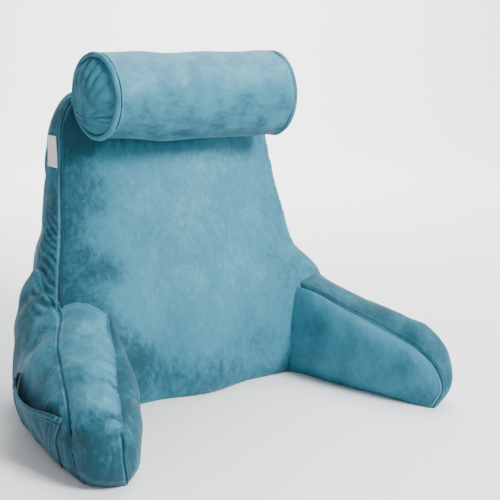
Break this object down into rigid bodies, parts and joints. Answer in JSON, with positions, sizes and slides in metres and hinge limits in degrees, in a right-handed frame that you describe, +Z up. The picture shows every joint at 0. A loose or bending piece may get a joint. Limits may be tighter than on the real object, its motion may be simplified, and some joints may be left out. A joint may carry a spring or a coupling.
{
  "type": "reading pillow with arms",
  "caption": "Stuffed bed-rest pillow with a leaning boxed back, splayed arm rests, a cylindrical neck roll and a side pocket.",
  "frame": {"origin": "on the floor, under the middle of the whole pillow's bounding box", "axes": "+Z up, -Y to the front where the sitter's legs go, +X along the width"},
  "size_m": [0.8024, 0.5763, 0.6584],
  "materials": {
    "velvet": "short-pile velvet with a soft sheen",
    "label": "woven satin, blank"
  },
  "bodies": {
    "root": {"back_cushion": "velvet", "arm_left": "velvet", "arm_right": "velvet", "neck_roll": "velvet", "roll_piping_left": "velvet", "roll_piping_right": "velvet", "pocket_panel": "velvet", "label": "label"}
  },
  "joints": []
}
